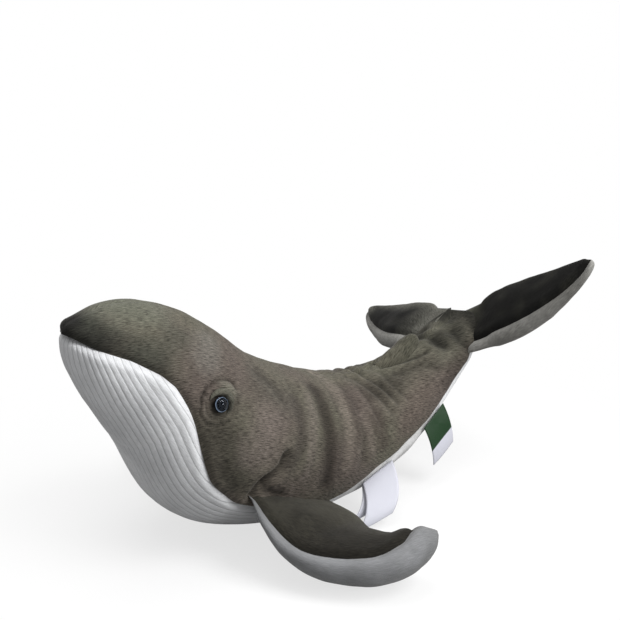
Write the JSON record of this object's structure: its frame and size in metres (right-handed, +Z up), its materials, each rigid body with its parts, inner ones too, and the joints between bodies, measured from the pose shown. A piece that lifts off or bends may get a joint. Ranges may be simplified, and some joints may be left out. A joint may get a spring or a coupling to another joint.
{
  "type": "plush whale",
  "caption": "Stuffed plush humpback whale with sewn panels, hinged flippers and tail flukes, ribbed white throat, safety eyes and hanging sewn-in labels.",
  "frame": {"origin": "on the floor under the middle of the outline, the toy resting on its throat and flippers", "axes": "+Z up, snout toward -X, tail toward +X, the whale's left side toward -Y"},
  "size_m": [0.3928, 0.3212, 0.1949],
  "materials": {
    "dark_plush": "short-pile olive grey plush",
    "black_plush": "short-pile near-black plush",
    "ribbed_white_plush": "white plush with lengthwise ribs",
    "white_plush": "short-pile white plush",
    "fibre_filling": "white polyester fibre",
    "clear_plastic": "clear polished",
    "dark_plastic": "dark moulded, coloured rim",
    "natural_nylon": "as moulded",
    "green_satin": "woven satin, white lower part",
    "white_satin": "woven satin, plain"
  },
  "bodies": {
    "whale_body": {"left_side_panel": "dark_plush", "right_side_panel": "dark_plush", "throat_panel": "ribbed_white_plush", "belly_panel": "white_plush", "body_filling": "fibre_filling", "back_fin_cover": "dark_plush", "back_fin_filling": "fibre_filling", "left_eye_lens": "clear_plastic", "left_eye_back": "dark_plastic", "left_eye_washer": "natural_nylon", "left_eyelid": "dark_plush", "right_eye_lens": "clear_plastic", "right_eye_back": "dark_plastic", "right_eye_washer": "natural_nylon", "right_eyelid": "dark_plush"},
    "left_flipper": {"left_flipper_upper_panel": "dark_plush", "left_flipper_lower_panel": "white_plush", "left_flipper_filling": "fibre_filling"},
    "left_fluke": {"left_fluke_upper_panel": "black_plush", "left_fluke_lower_panel": "white_plush", "left_fluke_filling": "fibre_filling"},
    "right_flipper": {"right_flipper_upper_panel": "dark_plush", "right_flipper_lower_panel": "white_plush", "right_flipper_filling": "fibre_filling"},
    "right_fluke": {"right_fluke_upper_panel": "black_plush", "right_fluke_lower_panel": "white_plush", "right_fluke_filling": "fibre_filling"},
    "fibre_label": {"fibre_label": "green_satin"},
    "care_label": {"care_label": "white_satin"},
    "motif_label": {"motif_label": "white_satin"}
  },
  "joints": [
    {"name": "left_flipper_hinge", "type": "hinge", "parent": "whale_body", "child": "left_flipper", "pos_m": [-0.04847, -0.04963, 0.03646], "axis": [-0.9011, -0.1631, 0.4018], "range_deg": [-12, 40], "stiffness_Nm_per_rad": 0.15},
    {"name": "right_flipper_hinge", "type": "hinge", "parent": "whale_body", "child": "right_flipper", "pos_m": [-0.04847, 0.04963, 0.03646], "axis": [0.9011, -0.1631, -0.4018], "range_deg": [-12, 40], "stiffness_Nm_per_rad": 0.15},
    {"name": "left_fluke_hinge", "type": "hinge", "parent": "whale_body", "child": "left_fluke", "pos_m": [0.1528, -0.02348, 0.11553], "axis": [-0.5632, -0.3481, -0.7495], "range_deg": [-25, 25], "stiffness_Nm_per_rad": 0.08},
    {"name": "right_fluke_hinge", "type": "hinge", "parent": "whale_body", "child": "right_fluke", "pos_m": [0.13739, 0.02348, 0.10529], "axis": [0.5632, 0.3481, 0.7495], "range_deg": [-25, 25], "stiffness_Nm_per_rad": 0.08},
    {"name": "fibre_label_hinge", "type": "hinge", "parent": "whale_body", "child": "fibre_label", "pos_m": [0.09787, -0.03638, 0.05856], "axis": [-0.8597, -0.2239, -0.4591], "range_deg": [-10, 60], "stiffness_Nm_per_rad": 0.002},
    {"name": "care_label_hinge", "type": "hinge", "parent": "whale_body", "child": "care_label", "pos_m": [0.0335, -0.04692, 0.03268], "axis": [-0.9335, -0.0214, -0.3579], "range_deg": [-8, 16], "stiffness_Nm_per_rad": 0.002},
    {"name": "motif_label_hinge", "type": "hinge", "parent": "whale_body", "child": "motif_label", "pos_m": [0.0335, -0.04692, 0.03268], "axis": [-0.9335, -0.0214, -0.3579], "range_deg": [-8, 16], "stiffness_Nm_per_rad": 0.002}
  ],
  "couplings": [
    {"joint": "motif_label_hinge", "follows": "care_label_hinge", "ratio": 1}
  ]
}
